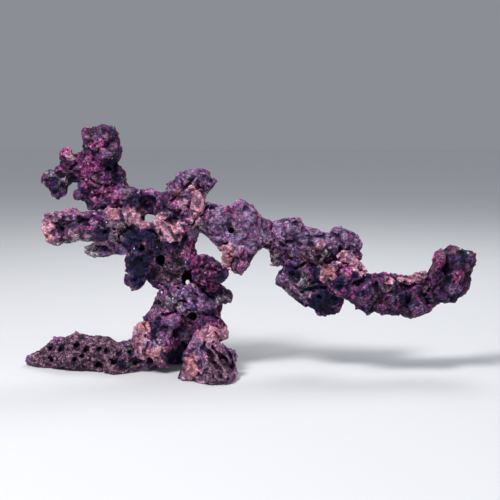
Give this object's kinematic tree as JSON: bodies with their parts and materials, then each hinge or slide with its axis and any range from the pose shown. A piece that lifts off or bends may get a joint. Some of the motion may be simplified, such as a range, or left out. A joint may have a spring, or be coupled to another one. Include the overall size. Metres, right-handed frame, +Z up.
{
  "type": "dry rock aquascape structure",
  "caption": "Branching reef aquascape of porous purple rocks bonded with coral-pink putty, on three feet, with a column, short arms and a long cantilevered arm.",
  "frame": {"origin": "on the surface that the structure stands on, under the middle of its bounding box", "axes": "+Z up; +X to the right as seen from the front, along the long arm; +Y away from the viewer, towards the back"},
  "size_m": [0.618, 0.1788, 0.3336],
  "materials": {
    "plum_rock": "rough, porous, dry coralline crust",
    "indigo_rock": "rough, porous, dark crust",
    "magenta_rock": "rough, porous, magenta crust",
    "mauve_rock": "rough, porous, greyish mauve crust",
    "dusty_pink_rock": "rough, porous, dusty pink crust",
    "coral_putty": "matt cured epoxy putty, stippled"
  },
  "bodies": {
    "root": {"left_foot_rock": "mauve_rock", "trunk_base_rock": "plum_rock", "front_foot_rock": "dusty_pink_rock", "back_foot_rock": "indigo_rock", "trunk_middle_rock": "mauve_rock", "trunk_side_rock": "magenta_rock", "trunk_upper_rock": "indigo_rock", "shoulder_rock": "magenta_rock", "wing_rock": "plum_rock", "neck_rock": "plum_rock", "column_rock": "magenta_rock", "horn_rock": "magenta_rock", "left_arm_rock": "dusty_pink_rock", "saddle_rock": "indigo_rock", "left_spur_rock": "mauve_rock", "arm_root_rock": "mauve_rock", "arm_hanging_rock": "dusty_pink_rock", "arm_middle_rock": "plum_rock", "elbow_rock": "indigo_rock", "elbow_crest_rock": "plum_rock", "arm_end_rock": "magenta_rock", "arm_tip_rock": "magenta_rock", "neck_putty": "coral_putty", "saddle_putty": "coral_putty", "shoulder_putty": "coral_putty", "arm_root_putty": "coral_putty", "left_foot_putty": "coral_putty", "front_foot_putty": "coral_putty", "back_foot_putty": "coral_putty", "elbow_putty": "coral_putty", "elbow_ridge_putty": "coral_putty", "arm_tip_putty": "coral_putty"}
  },
  "joints": []
}
